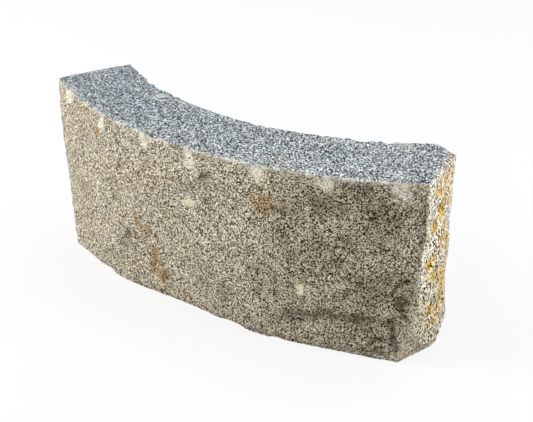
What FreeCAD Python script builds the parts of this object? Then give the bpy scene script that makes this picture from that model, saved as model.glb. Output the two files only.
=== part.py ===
import FreeCAD, Part
import math
import os
import Sketcher

# Radius kerb stone, split from one block of granite.
# The arc centre is the origin on plan while the stone is cut, the convex roadside face looks
# along -Y, the concave back along +Y, and the worked top is level at stone_height.
# The stone is made as in the yard: a dressed arc block is ready on the bench, its top and its
# bed are flat, and the four sides and the worn corners are then split away along rough skins.

SIZES = [
    # plan of the stone, taken at the top arrises
    ("outer_radius", 750),
    ("stone_width", 150),
    ("stone_height", 310),
    ("left_end_angle", 31.55),
    ("right_end_angle", 31.2),
    ("left_end_skew", 6.2),
    ("right_end_skew", 20.1),
    # stock left on the block for the splitter
    ("split_allowance", 48),
    ("end_allowance", 130),
    # lean and foot of the split faces
    ("face_toe_middle", -7),
    ("face_toe_left", 19),
    ("face_toe_right", 24),
    ("toe_angle", 25),
    ("toe_power", 1.35),
    ("foot_wave_depth", 2.5),
    ("foot_wave_angle", 26),
    ("back_toe", 7),
    ("back_thinning", 6),
    ("thinning_reach", 19),
    ("left_undercut", 72),
    ("right_foot_flare", 23),
    ("flare_start", 45),
    ("flare_fade", 60),
    # height of the ripples on each split face
    ("face_relief", 1.9),
    ("back_relief", 3.2),
    ("end_relief", 2.6),
    ("arris_calm", 70),
    # lower right corner struck off in one flat break
    ("break_height", 135),
    ("break_on_face", 37),
    ("break_on_end", 36),
    # heel of the right end, broken away along the bed
    ("heel_start", 45),
    ("heel_crest", 105),
    ("heel_depth", 14),
    ("heel_height", 26),
    # worn upright arris on the left
    ("left_arris_at_top", 9),
    ("left_arris_at_foot", 17),
    ("left_arris_on_end", 6),
    # bruised bevel and knocked-off inner corner at the top of the right end
    ("end_bevel_height", 9),
    ("end_bevel_width", 4),
    ("inner_chip_along", 28),
    ("inner_chip_across", 58),
    ("inner_chip_height", 18),
    # bites of the splitter's teeth along the top outer arris
    ("bite_count", 7),
    ("bite_first_angle", -25.9),
    ("bite_pitch_angle", 8.88),
    ("bite_radius", 44),
    ("bite_depth", 2.6),
    ("bite_drop", 12),
    # flat spall low on the right of the face, under a ledge where the split ran off line
    ("ledge_left_angle", 13.2),
    ("ledge_left_height", 54),
    ("ledge_right_angle", 26.4),
    ("ledge_right_height", 74),
    ("ledge_foot_angle", 17.5),
    ("ledge_foot_depth", 2.5),
]

# Ripples of a split face: share of the relief, run along the face, run up the face, shift.
FACE_RIPPLES = [(0.75, 262, 240, -0.95), (0.45, 175, -300, 1.9), (0.25, -240, 150, 4.0)]
BACK_RIPPLES = [(0.60, 330, 210, 2.2), (0.45, 200, -300, 0.3), (0.25, -260, 160, 5.1)]
LEFT_RIPPLES = [(0.60, 140, 260, 1.1), (0.50, -110, 190, 3.0)]
RIGHT_RIPPLES = [(0.60, 72, 900, 0.6), (0.45, 110, -230, 2.4), (0.30, -170, 120, 1.0)]

# Shell-shaped scars: place round the arc, height above the bed, radius of the shell, depth.
FACE_SCARS = {
    "lip_scar": (29.4, 116, 45, 10.0),
    "heel_scar": (27.0, 10, 48, 6.0),
    "toe_chip": (13.5, -4, 30, 6.0),
    "left_toe_chip": (-15.5, -6, 70, 5.0),
    "middle_toe_chip": (6.0, -6, 90, 4.5),
}
BACK_SPALL = (-22.6, 314, 40, 6.0)

# Hand of the splitter: no two teeth land or bite quite alike (degrees, share of the depth).
BITE_STRAYS = [(0.0, 0.8), (0.9, 1.0), (0.5, 0.7), (0.1, 1.1), (0.5, 1.0), (0.1, 1.2), (0.0, 1.0)]

# A split skin is woven through stations this far apart, and overlaps the block by as much.
STATION = 22
# How far past the ends the long skins run, and past the sides the end skins, in allowances.
FACE_REACH, BACK_REACH, END_REACH = 2, 1.6, 2.2
# How far an end skin is thrown outwards, in end allowances.
END_THROW = 3
# Share of the relief that is left at the top arris.
ARRIS_SHARE = 0.3

doc = FreeCAD.newDocument("kerb")


def fill_sheet(rows):
    """Put the driving sizes into a spreadsheet, one row each, and return the sheet."""
    sheet = doc.addObject("Spreadsheet::Sheet", "sizes")
    for row, (alias, value) in enumerate(rows, start=1):
        sheet.set("A%d" % row, alias)
        sheet.set("B%d" % row, str(value))
        sheet.setAlias("B%d" % row, alias)
    doc.recompute()
    return sheet


sizes = fill_sheet(SIZES)


def size(alias):
    return float(sizes.get(alias))


def origin_plane(body, role):
    """Return one of the body's own origin planes, such as XY_Plane."""
    for feature in body.Origin.OriginFeatures:
        if feature.Role == role:
            return feature
    raise RuntimeError("no %s in %s" % (role, body.Name))


def arc_point(radius, angle, height=0.0):
    """Point at a radius and an angle round the arc, counted from -Y towards +X."""
    turn = math.radians(angle)
    return FreeCAD.Vector(radius * math.sin(turn), -radius * math.cos(turn), height)


def make_block():
    """The dressed arc block: flat top, flat bed, sides still oversize."""
    body = doc.addObject("PartDesign::Body", "arc_block")
    plan = body.newObject("Sketcher::SketchObject", "block_plan")
    plan.AttachmentSupport = [(origin_plane(body, "XY_Plane"), "")]
    plan.MapMode = "FlatFace"
    outer = size("outer_radius") + size("split_allowance")
    inner = size("outer_radius") - size("stone_width") - size("split_allowance")
    left = math.radians(size("left_end_angle")) + size("end_allowance") / outer
    right = math.radians(size("right_end_angle")) + size("end_allowance") / outer
    start = -math.pi / 2 - left
    stop = -math.pi / 2 + right
    up = FreeCAD.Vector(0, 0, 1)
    centre = FreeCAD.Vector(0, 0, 0)
    road_arc = plan.addGeometry(Part.ArcOfCircle(Part.Circle(centre, up, outer), start, stop), False)
    back_arc = plan.addGeometry(Part.ArcOfCircle(Part.Circle(centre, up, inner), start, stop), False)

    def corner(radius, turn):
        return FreeCAD.Vector(radius * math.cos(turn), radius * math.sin(turn), 0)

    left_side = plan.addGeometry(Part.LineSegment(corner(outer, start), corner(inner, start)), False)
    right_side = plan.addGeometry(Part.LineSegment(corner(outer, stop), corner(inner, stop)), False)
    root, middle, first, last = -1, 3, 1, 2
    plan.addConstraint([
        Sketcher.Constraint("Coincident", road_arc, middle, root, first),
        Sketcher.Constraint("Coincident", back_arc, middle, root, first),
        Sketcher.Constraint("Coincident", left_side, first, road_arc, first),
        Sketcher.Constraint("Coincident", left_side, last, back_arc, first),
        Sketcher.Constraint("Coincident", right_side, first, road_arc, last),
        Sketcher.Constraint("Coincident", right_side, last, back_arc, last),
        Sketcher.Constraint("PointOnObject", root, first, left_side),
        Sketcher.Constraint("PointOnObject", root, first, right_side),
    ])
    road_radius = plan.addConstraint(Sketcher.Constraint("Radius", road_arc, outer))
    back_radius = plan.addConstraint(Sketcher.Constraint("Radius", back_arc, inner))
    left_reach = plan.addConstraint(
        Sketcher.Constraint("DistanceX", left_side, first, root, first, outer * math.sin(left)))
    right_reach = plan.addConstraint(
        Sketcher.Constraint("DistanceX", root, first, right_side, first, outer * math.sin(right)))
    plan.renameConstraint(road_radius, "road_radius")
    plan.renameConstraint(back_radius, "back_radius")
    plan.renameConstraint(left_reach, "left_reach")
    plan.renameConstraint(right_reach, "right_reach")
    grown = "(sizes.outer_radius + sizes.split_allowance)"
    reach = grown + " * sin(sizes.%s * 1deg + sizes.end_allowance / " + grown + " * 180deg / pi)"
    plan.setExpression("Constraints.road_radius", "sizes.outer_radius + sizes.split_allowance")
    plan.setExpression(
        "Constraints.back_radius",
        "sizes.outer_radius - sizes.stone_width - sizes.split_allowance")
    plan.setExpression("Constraints.left_reach", reach % "left_end_angle")
    plan.setExpression("Constraints.right_reach", reach % "right_end_angle")
    slab = body.newObject("PartDesign::Pad", "block_height")
    slab.Profile = plan
    slab.setExpression("Length", "sizes.stone_height")
    body.Tip = slab
    plan.Visibility = False
    doc.recompute()
    return body


def ease(share):
    """Smooth step from 0 to 1."""
    share = max(0.0, min(1.0, share))
    return share * share * (3 - 2 * share)


def ripple(waves, along, height):
    """Gentle undulation of a split face, about -1 to 1."""
    total = 0.0
    for share, run_along, run_up, shift in waves:
        total += share * math.sin(2 * math.pi * (along / run_along + height / run_up) + shift)
    return total


def calm(height):
    """Ripples die out towards the top arris, which is split true to line."""
    below = (size("stone_height") - height) / size("arris_calm")
    return ARRIS_SHARE + (1 - ARRIS_SHARE) * ease(below)


def spread(low, high, step):
    """Evenly spaced stations from low to high, about one step apart."""
    count = int(math.ceil((high - low) / step))
    return [low + (high - low) * index / count for index in range(count + 1)]


def face_radius(angle, height):
    """Radius of the convex roadside face: it leans to its toe and ripples a little."""
    down = 1 - height / size("stone_height")
    toe = size("face_toe_middle")
    toe_at_end = size("face_toe_left") if angle < 0 else size("face_toe_right")
    toe += (toe_at_end - toe) * (abs(angle) / size("toe_angle")) ** size("toe_power")
    along = math.radians(angle) * size("outer_radius")
    toe -= size("foot_wave_depth") * math.cos(2 * math.pi * angle / size("foot_wave_angle"))
    radius = size("outer_radius") + toe * max(0.0, down)
    radius += size("face_relief") * calm(height) * ripple(FACE_RIPPLES, along, height)
    return radius


def back_radius(angle, height):
    """Radius of the concave back: a little thicker at the foot, and rougher."""
    inner = size("outer_radius") - size("stone_width")
    down = 1 - height / size("stone_height")
    along = math.radians(angle) * inner
    wave = size("back_relief") * calm(height) * ripple(BACK_RIPPLES, along, height)
    thinning = size("back_thinning") * ease(1 - abs(angle) / size("thinning_reach"))
    return inner + thinning - size("back_toe") * max(0.0, down) + wave


def left_end_offset(inward, height):
    """How far the left end stands out from its top arris: it is undercut to the foot."""
    down = 1 - height / size("stone_height")
    wave = size("end_relief") * calm(height) * ripple(LEFT_RIPPLES, inward, height)
    return wave - size("left_undercut") * down


def right_end_offset(inward, height):
    """How far the right end stands out from its top arris: its foot flares in the middle."""
    down = 1 - height / size("stone_height")
    wave = size("end_relief") * calm(height) * ripple(RIGHT_RIPPLES, inward, height)
    swell = ease(inward / size("flare_start"))
    fade = ease((size("stone_width") - inward) / size("flare_fade"))
    return wave + size("right_foot_flare") * down * swell * fade


def skin_solid(name, point_at, columns, rows, throw):
    """Waste that a split takes off: a rough skin pushed outwards past the block."""
    grid = [[point_at(column, row) for row in rows] for column in columns]
    surface = Part.BSplineSurface()
    surface.interpolate(grid)
    waste = doc.addObject("Part::Feature", name)
    waste.Shape = surface.toShape().extrude(throw)
    return waste


def heights():
    """Stations from under the bed to over the top."""
    return spread(-STATION, size("stone_height") + STATION, STATION)


def long_skin(name, radius_at, nominal, reach, throw):
    """Waste along one of the two long sides, from past one end to past the other."""
    past = math.degrees(reach * size("end_allowance") / nominal)
    return skin_solid(
        name,
        lambda angle, height: arc_point(radius_at(angle, height), angle, height),
        spread(-size("left_end_angle") - past, size("right_end_angle") + past,
               math.degrees(STATION / nominal)),
        heights(), throw)


def make_face_waste():
    """Roadside waste, outside the convex face."""
    outer = size("outer_radius")
    return long_skin("face_waste", face_radius, outer, FACE_REACH, FreeCAD.Vector(0, -outer, 0))


def make_back_waste():
    """Waste on the garden side, inside the concave back."""
    inner = size("outer_radius") - size("stone_width")
    return long_skin("back_waste", back_radius, inner, BACK_REACH, FreeCAD.Vector(0, inner, 0))


def make_end_waste(name, side, point_at):
    """Waste past one end. side is -1 on the left and 1 on the right."""
    over = END_REACH * size("split_allowance")
    throw = FreeCAD.Vector(side * END_THROW * size("end_allowance"), 0, 0)
    return skin_solid(name, point_at, spread(-over, size("stone_width") + over, STATION), heights(), throw)


def cut(name, base, tool):
    """One split or strike: base less tool."""
    result = doc.addObject("Part::Cut", name)
    result.Base = base
    result.Tool = tool
    base.Visibility = False
    tool.Visibility = False
    return result


def make_bite(index):
    """Bowl crushed by one tooth of the splitter just under the top arris."""
    stray, share = BITE_STRAYS[index % len(BITE_STRAYS)]
    bite = doc.addObject("Part::Sphere", "tooth_bite_%d" % (index + 1))
    bite.setExpression("Radius", "sizes.bite_radius")
    angle = "(sizes.bite_first_angle + %d * sizes.bite_pitch_angle + %s)" % (index, stray)
    reach = "(sizes.outer_radius + sizes.bite_radius - %s * sizes.bite_depth)" % share
    bite.setExpression("Placement.Base.x", "%s * sin(%s * 1deg)" % (reach, angle))
    bite.setExpression("Placement.Base.y", "-%s * cos(%s * 1deg)" % (reach, angle))
    bite.setExpression("Placement.Base.z", "sizes.stone_height - sizes.bite_drop")
    return bite


def make_scar(name, radius_at, outwards, place):
    """Shell-shaped scar: a ball sunk into the face to its depth."""
    angle, height, shell, depth = place
    scar = doc.addObject("Part::Sphere", name)
    scar.Radius = shell
    stand_off = outwards * (shell - depth)
    centre = arc_point(radius_at(angle, height) + stand_off, angle, height)
    scar.Placement = FreeCAD.Placement(centre, FreeCAD.Rotation())
    return scar


def make_strike(name, first, second, third, away_from, ledge=False):
    """Flat break through three points: a block laid on their plane, on the waste side.

    With a ledge, the block stops at the line from the first point to the second.
    """
    across = second - first
    across.normalize()
    normal = (second - first).cross(third - first)
    normal.normalize()
    middle = (first + second + third) * (1 / 3)
    if normal.dot(away_from - middle) > 0:
        normal = normal * -1
    along = normal.cross(across)
    if along.dot(third - first) < 0:
        across = across * -1
        along = along * -1
    turn = FreeCAD.Rotation(across, along, normal, "ZXY")
    side = 2 * size("stone_height")
    block = doc.addObject("Part::Box", name)
    block.Length = side
    block.Width = side
    block.Height = side / 4
    corner = middle - (across + along) * (side / 2)
    if ledge:
        corner = first - across * (side / 2)
    block.Placement = FreeCAD.Placement(corner, turn)
    return block


def end_point(side, end_angle, skew, offset_at, inward, height):
    """Point on a split end, so far in from its outer arris and so high above the bed."""
    corner = arc_point(size("outer_radius"), side * size(end_angle))
    heading = math.radians(side * (size(end_angle) - size(skew)))
    place = corner + FreeCAD.Vector(-math.sin(heading), math.cos(heading), 0) * inward
    outward = FreeCAD.Vector(side * math.cos(heading), side * math.sin(heading), 0)
    place += outward * offset_at(inward, height)
    return FreeCAD.Vector(place.x, place.y, height)


def right_end_point(inward, height):
    return end_point(1, "right_end_angle", "right_end_skew", right_end_offset, inward, height)


def left_end_point(inward, height):
    return end_point(-1, "left_end_angle", "left_end_skew", left_end_offset, inward, height)


def face_point(back_from_corner, height, corner):
    """Point on the roadside face, so far round the arc from an end's outer arris."""
    reach = math.degrees(math.atan2(corner.x, -corner.y))
    toward_middle = -1 if reach > 0 else 1
    angle = reach + toward_middle * math.degrees(back_from_corner / size("outer_radius"))
    return arc_point(face_radius(angle, height), angle, height)


def face_place(side):
    """End of the ledge on the roadside face."""
    angle = size("ledge_%s_angle" % side)
    height = size("ledge_%s_height" % side)
    return arc_point(face_radius(angle, height), angle, height)


def make_strikes():
    """The flat breaks: lower right corner, worn left arris, top bevel, knocked inner corner."""
    heart = arc_point(size("outer_radius") - size("stone_width") / 2, 0, size("stone_height") / 2)
    top = size("stone_height")
    foot = right_end_point(0, 0)
    high = right_end_point(0, size("break_height"))
    yield make_strike(
        "corner_break", face_point(size("break_on_face"), 0, foot),
        right_end_point(size("break_on_end"), 0), face_point(0, size("break_height"), high), heart)
    heel = FreeCAD.Vector(size("heel_depth"), 0, 0)
    width = size("stone_width")
    yield make_strike(
        "heel_break", right_end_point(size("heel_start"), 0),
        right_end_point(width, 0) - heel, right_end_point(size("heel_crest"), size("heel_height")), heart)
    yield make_strike(
        "left_arris", face_point(size("left_arris_at_top"), top, left_end_point(0, top)),
        face_point(size("left_arris_at_foot"), 0, left_end_point(0, 0)),
        left_end_point(size("left_arris_on_end"), top / 2), heart)
    bevel = FreeCAD.Vector(size("end_bevel_width"), 0, 0)
    yield make_strike(
        "end_bevel", right_end_point(0, top) - bevel, right_end_point(width, top) - bevel,
        right_end_point(width / 2, top - size("end_bevel_height")), heart)
    inner = size("outer_radius") - width
    corner = right_end_point(width, top)
    reach = math.degrees(math.atan2(corner.x, -corner.y) - size("inner_chip_along") / inner)
    yield make_strike(
        "inner_chip", arc_point(back_radius(reach, top), reach, top),
        right_end_point(width - size("inner_chip_across"), top),
        right_end_point(width, top - size("inner_chip_height")), heart)
    ledge_ends = [face_place("left"), face_place("right")]
    foot_angle = size("ledge_foot_angle")
    foot_radius = face_radius(foot_angle, 0) - size("ledge_foot_depth")
    yield make_strike(
        "ledge_spall", ledge_ends[0], ledge_ends[1],
        arc_point(foot_radius, foot_angle), heart, ledge=True)


def split_stone():
    """Split the block on its four sides, then strike the breaks, bites and scars out of it."""
    stone = make_block()
    stone = cut("split_face", stone, make_face_waste())
    stone = cut("split_back", stone, make_back_waste())
    stone = cut("split_left", stone, make_end_waste("left_waste", -1, left_end_point))
    stone = cut("split_right", stone, make_end_waste("right_waste", 1, right_end_point))
    for strike in make_strikes():
        stone = cut("after_" + strike.Name, stone, strike)
    for index in range(int(size("bite_count"))):
        stone = cut("bitten_%d" % (index + 1), stone, make_bite(index))
    for name, place in FACE_SCARS.items():
        stone = cut("after_" + name, stone, make_scar(name, face_radius, 1, place))
    spall = make_scar("back_spall", back_radius, -1, BACK_SPALL)
    return cut("kerb_stone", stone, spall)


def stand_on_origin(stone):
    """Move the stone so that the middle of its bed box is the origin."""
    doc.recompute()
    box = stone.Shape.optimalBoundingBox(False, False)
    middle = FreeCAD.Vector((box.XMin + box.XMax) / 2, (box.YMin + box.YMax) / 2, box.ZMin)
    stone.Placement = FreeCAD.Placement(middle * -1, FreeCAD.Rotation())
    doc.recompute()
    print("arc centre in the stone's frame: x %.2f y %.2f" % (-middle.x, -middle.y))


def check_document():
    """Stop if any step of the document failed."""
    for item in doc.Objects:
        if "Invalid" in item.State or "Error" in item.State:
            raise RuntimeError("%s failed: %s" % (item.Name, item.State))


def write_part(part):
    """Check one finished piece and write it under its own name."""
    shape = part.Shape
    if shape.isNull() or not shape.isValid() or len(shape.Solids) != 1:
        raise RuntimeError("%s is not one sound solid: valid %s, volumes %s" % (
            part.Label, shape.isValid(), [round(solid.Volume) for solid in shape.Solids]))
    box = shape.optimalBoundingBox(False, False)
    print("%s: %.1f x %.1f x %.1f mm, %.2f litres, %d faces" % (
        part.Label, box.XLength, box.YLength, box.ZLength, shape.Volume / 1e6, len(shape.Faces)))
    shape.exportStep("parts/%s.step" % part.Label)


kerb_stone = split_stone()
kerb_stone.Label = "kerb_stone"
stand_on_origin(kerb_stone)
check_document()
os.makedirs("parts", exist_ok=True)
write_part(kerb_stone)
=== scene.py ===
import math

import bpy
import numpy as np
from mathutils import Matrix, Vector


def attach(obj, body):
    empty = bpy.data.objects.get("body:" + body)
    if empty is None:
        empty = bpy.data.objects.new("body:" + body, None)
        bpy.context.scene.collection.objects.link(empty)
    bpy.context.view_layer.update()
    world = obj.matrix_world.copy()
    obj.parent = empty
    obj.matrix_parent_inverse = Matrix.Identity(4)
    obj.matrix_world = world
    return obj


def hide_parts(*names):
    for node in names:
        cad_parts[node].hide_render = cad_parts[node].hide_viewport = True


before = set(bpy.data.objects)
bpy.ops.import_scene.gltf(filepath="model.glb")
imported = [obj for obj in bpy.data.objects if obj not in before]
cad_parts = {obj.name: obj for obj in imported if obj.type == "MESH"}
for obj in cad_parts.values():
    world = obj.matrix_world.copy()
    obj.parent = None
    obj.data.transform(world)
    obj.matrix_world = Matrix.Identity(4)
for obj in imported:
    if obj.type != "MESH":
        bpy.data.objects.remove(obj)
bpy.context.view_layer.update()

# %% [markdown]
# # A radius kerb stone in granite
# The real thing is one block of granite, split to a curve. Its top is worked with a flame, so it
# is level and finely rough; its sides are left as the splitter tore them.
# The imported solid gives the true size, the curve, the undercut and the breaks. This lesson dresses
# it: a finer skin with real relief, and granite that is made of grains and not of a picture.

MM = 0.001
NODE = "kerb_stone"
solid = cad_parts[NODE]

# %% [markdown]
# ## Where the arc's centre is
# A kerb of this kind is set out from the centre of its ring, so nearly every place on it is best
# given as a radius, an angle and a height. The centre lies behind the stone, on the pavement side.
# The angle counts from straight ahead of the centre, and grows to the right.

# %% The ring that the stone is part of
ARC_CENTRE = Vector((-0.00595, 0.61149, 0))
OUTER, INNER, TOP = 750 * MM, 600 * MM, 310 * MM
print("ring radii", OUTER, INNER, "height", TOP)

# %% [markdown]
# ## The camera
# The picture is taken from the road side, a little to the right and well above the stone. The
# place was worked out from the two arcs of the top, which meet the lens at different distances,
# so the perspective is right and not only the outline. It is set out from the arc centre too.

# %% Camera
CAMERA_FROM_CENTRE = Vector((0.9449, -1.8665, 0.9753))
CAMERA_TURN = 34.9
CAMERA_PITCH = 28.23
LENS = 67.5
SENSOR_WIDTH = 36

camera_data = bpy.data.cameras.new("camera")
camera_data.lens = LENS
camera_data.sensor_width = SENSOR_WIDTH
camera = bpy.data.objects.new("camera", camera_data)
bpy.context.collection.objects.link(camera)
camera.location = ARC_CENTRE + CAMERA_FROM_CENTRE
camera.rotation_euler = (math.radians(90 - CAMERA_PITCH), 0, math.radians(CAMERA_TURN))
bpy.context.scene.camera = camera
print("camera at", [round(v, 3) for v in camera.location])

# %% [markdown]
# ## Light and floor
# A soft lamp from the left front lights the long face and lets it fade round the curve. A lamp
# from the right rakes over the split end. The world fills the shadows. The floor is pale, and to
# the camera most of its white comes from the floor itself, so it stays white where no shadow
# falls, whatever the lamps do to the stone.

# %% World and lamps
scene = bpy.context.scene
scene.view_settings.view_transform = "Standard"
AMBIENT = 0.74
SKY_TINT = (0.96, 0.98, 1.0, 1)
WHITE = (1, 1, 1, 1)
world = bpy.data.worlds.new("studio")
scene.world = world
world.use_nodes = True
nodes, links = world.node_tree.nodes, world.node_tree.links
nodes.clear()
rays = nodes.new("ShaderNodeLightPath")
fill = nodes.new("ShaderNodeBackground")
fill.inputs["Color"].default_value = SKY_TINT
fill.inputs["Strength"].default_value = AMBIENT
backdrop = nodes.new("ShaderNodeBackground")
backdrop.inputs["Color"].default_value = WHITE
seen = nodes.new("ShaderNodeMixShader")
world_out = nodes.new("ShaderNodeOutputWorld")
links.new(rays.outputs["Is Camera Ray"], seen.inputs[0])
links.new(fill.outputs[0], seen.inputs[1])
links.new(backdrop.outputs[0], seen.inputs[2])
links.new(seen.outputs[0], world_out.inputs["Surface"])


def lamp(name, place, aim, width, watts, colour):
    """A square soft box at a place, turned to an aim point."""
    data = bpy.data.lights.new(name, "AREA")
    data.shape = "SQUARE"
    data.size = width
    data.energy = watts
    data.color = colour
    box = bpy.data.objects.new(name, data)
    bpy.context.collection.objects.link(box)
    box.location = place
    box.rotation_euler = (Vector(aim) - Vector(place)).to_track_quat("-Z", "Y").to_euler()
    return box


SOFT_BOXES = [("left_front_box", (-2.9, -1.5, 1.6), (0, 0, 0.15), 1.1, 92, (1.0, 0.97, 0.92)),
              ("right_box", (2.6, 0.9, 0.9), (0.3, 0, 0.15), 0.8, 36, (1.0, 0.98, 0.95)),
              ("top_box", (0.2, 1.2, 2.8), (0, 0, 0.3), 1.8, 14, (0.93, 0.97, 1.0))]
for soft_box in SOFT_BOXES:
    lamp(*soft_box)

# %% [markdown]
# ## The floor
# A stone that stands on nothing looks cut out, so it gets a wide pale floor that keeps its shadow.
# A plain mesh of one square is enough. It reaches far past the view, so its edge never shows.
# Most of what the camera sees of it is its own white, mixed in by the Light Path node.

# %% Floor
REACH = 30
FLOOR_GREY = (0.78, 0.78, 0.78, 1)
FLOOR_ROUGHNESS = 0.95
OWN_WHITE = 0.8
floor_mesh = bpy.data.meshes.new("floor")
corners = [(-REACH, -REACH, 0), (REACH, -REACH, 0), (REACH, REACH, 0), (-REACH, REACH, 0)]
floor_mesh.from_pydata(corners, [], [(0, 1, 2, 3)])
floor = bpy.data.objects.new("floor", floor_mesh)
bpy.context.collection.objects.link(floor)
floor_look = bpy.data.materials.new("pale_floor")
floor_look.use_nodes = True
nodes, links = floor_look.node_tree.nodes, floor_look.node_tree.links
matt = nodes["Principled BSDF"]
matt.inputs["Base Color"].default_value = FLOOR_GREY
matt.inputs["Roughness"].default_value = FLOOR_ROUGHNESS
matt.inputs["Specular IOR Level"].default_value = 0.0
rays = nodes.new("ShaderNodeLightPath")
glow = nodes.new("ShaderNodeEmission")
glow.inputs["Color"].default_value = WHITE
glow.inputs["Strength"].default_value = 1.0
share = nodes.new("ShaderNodeMath")
share.operation = "MULTIPLY"
share.inputs[1].default_value = OWN_WHITE
both = nodes.new("ShaderNodeMixShader")
links.new(rays.outputs["Is Camera Ray"], share.inputs[0])
links.new(share.outputs[0], both.inputs[0])
links.new(matt.outputs[0], both.inputs[1])
links.new(glow.outputs[0], both.inputs[2])
links.new(both.outputs[0], nodes["Material Output"].inputs["Surface"])
floor_mesh.materials.append(floor_look)
print("floor reaches", REACH, "m each way")

# %% [markdown]
# ## A skin fine enough to carry relief
# The solid's own triangles are long and thin, which is no use for relief. A voxel remesh rebuilds
# the surface from cubes of one size, so every part of the stone gets points about 3 mm apart. It
# also rounds each arris a little, as stone does.

# %% Remesh a copy of the solid
VOXEL = 3.15 * MM
stone_mesh = solid.data.copy()
stone_mesh.name = "granite_block"
stone = bpy.data.objects.new("granite_block", stone_mesh)
bpy.context.collection.objects.link(stone)
stone_mesh.materials.clear()
remesh = stone.modifiers.new("even_skin", "REMESH")
remesh.mode = "VOXEL"
remesh.voxel_size = VOXEL
remesh.use_smooth_shade = True
view_layer = bpy.context.view_layer
dressed = bpy.data.meshes.new_from_object(stone.evaluated_get(bpy.context.evaluated_depsgraph_get()))
stone.modifiers.clear()
stone.data = dressed
dressed.name = "granite_block"
dressed.materials.clear()
print("skin", len(dressed.vertices), "points", len(dressed.polygons), "faces")

# %% [markdown]
# ## Noise in plain numbers
# Relief needs random heights that change smoothly from place to place. Random numbers are put on
# the corners of a grid and blended inside each cell; adding finer grids gives roughness at every
# scale. Written with numpy, it works on all points at once and gives the same stone every time.
# Each call names a seed, a plain number that tells one noise from the next.

# %% Smooth noise
SPREAD_I, SPREAD_J, SPREAD_K, SPREAD_SEED = 73856093, 19349663, 83492791, 2654435761
STIR_FIRST, STIR_SECOND = 1274126177, 2246822519
LOW_32_BITS, LOW_16_BITS = 0xFFFFFFFF, 0xFFFF


def corner_value(i, j, k, seed):
    """A repeatable random number from -1 to 1 for each grid corner."""
    mixed = (i * SPREAD_I) ^ (j * SPREAD_J) ^ (k * SPREAD_K) ^ (seed * SPREAD_SEED)
    mixed = (mixed ^ (mixed >> 13)) * STIR_FIRST & LOW_32_BITS
    mixed = (mixed ^ (mixed >> 16)) * STIR_SECOND & LOW_32_BITS
    return (mixed >> 8 & LOW_16_BITS) / (LOW_16_BITS / 2) - 1


def noise(points, run, seed):
    """Smooth noise, about -1 to 1; run is its cell size, one number or one for each axis."""
    scaled = points / run
    cell = np.floor(scaled).astype(np.int64)
    part = scaled - cell
    part = part * part * (3 - 2 * part)
    total = np.zeros(len(points))
    for di in (0, 1):
        for dj in (0, 1):
            for dk in (0, 1):
                weight = (np.abs(1 - di - part[:, 0]) * np.abs(1 - dj - part[:, 1])
                          * np.abs(1 - dk - part[:, 2]))
                total += weight * corner_value(cell[:, 0] + di, cell[:, 1] + dj, cell[:, 2] + dk, seed)
    return total


def rough(points, run, seed, layers=3):
    """Noise of several scales, each half as long and half as high as the one before."""
    total = np.zeros(len(points))
    for layer in range(layers):
        total += noise(points, np.asarray(run) / 2 ** layer, seed + layer) / 2 ** layer
    return total / (2 - 2 ** (1 - layers))


def step(low, high, values):
    """Smooth step from 0 at low to 1 at high."""
    share = np.clip((values - low) / (high - low), 0, 1)
    return share * share * (3 - 2 * share)


# %% [markdown]
# ## Knowing one side from another
# The remesh forgets which face was which. Each point is sorted again from its normal and its
# place on the arc. The shares blend over a few millimetres, so no two sides meet on a hard line.
# Each pair of values says where a share starts and where it is full.

# %% Sort the points into sides
END_TURN = 11.1
LEVEL_ENOUGH, TOP_ZONE = (0.55, 0.9), (TOP - 14 * MM, TOP - 7 * MM)
BED_ENOUGH, BED_ZONE = (0.7, 0.95), (9 * MM, 3 * MM)
END_ENOUGH, FACE_ENOUGH = (0.84, 0.93), (0.3, 0.6)
count = len(dressed.vertices)
place = np.empty(count * 3)
dressed.vertices.foreach_get("co", place)
place = place.reshape(-1, 3)
normal = np.empty(count * 3)
dressed.vertices.foreach_get("normal", normal)
normal = normal.reshape(-1, 3)
from_centre = place - np.array(ARC_CENTRE)
radius = np.hypot(from_centre[:, 0], from_centre[:, 1])
angle = np.degrees(np.arctan2(from_centre[:, 0], -from_centre[:, 1]))
height = place[:, 2]
outward = np.sin(np.radians(angle)) * normal[:, 0] - np.cos(np.radians(angle)) * normal[:, 1]
on_top = step(*LEVEL_ENOUGH, normal[:, 2]) * step(*TOP_ZONE, height)
on_bed = step(*BED_ENOUGH, -normal[:, 2]) * step(*BED_ZONE, height)
RIGHT_END = Vector((math.cos(math.radians(END_TURN)), math.sin(math.radians(END_TURN)), 0))
facing_right = normal @ np.array(RIGHT_END)
on_right = step(*END_ENOUGH, facing_right) * (1 - on_top) * (1 - on_bed)
on_face = step(*FACE_ENOUGH, outward) * (1 - on_top) * (1 - on_bed) * (1 - on_right)
for name, share in (("top", on_top), ("bed", on_bed), ("right end", on_right), ("face", on_face)):
    print(name, round(100 * share.mean(), 1), "% of the points")

# %% [markdown]
# ## Finding the upright arris
# Where the face meets the split end, the stone has a long upright arris, and it isn't straight.
# The stone is cut into thin level bands. In each band the point that lies furthest out, halfway
# between the two sides, is on the arris, and all other points are measured from it.

# %% Distance from the upright arris
BAND = 6 * MM
ARRIS_WAY = np.array((0.914, -0.406, 0))
band = (height / BAND).astype(int)
from_inside_out = np.argsort(place @ ARRIS_WAY, kind="stable")
arris_point = np.zeros(band.max() + 1, dtype=int)
arris_point[band[from_inside_out]] = from_inside_out
corner_gap = np.linalg.norm((place - place[arris_point[band]])[:, :2], axis=1)
print("points within 5 mm of the arris", int((corner_gap < 5 * MM).sum()))

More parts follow.
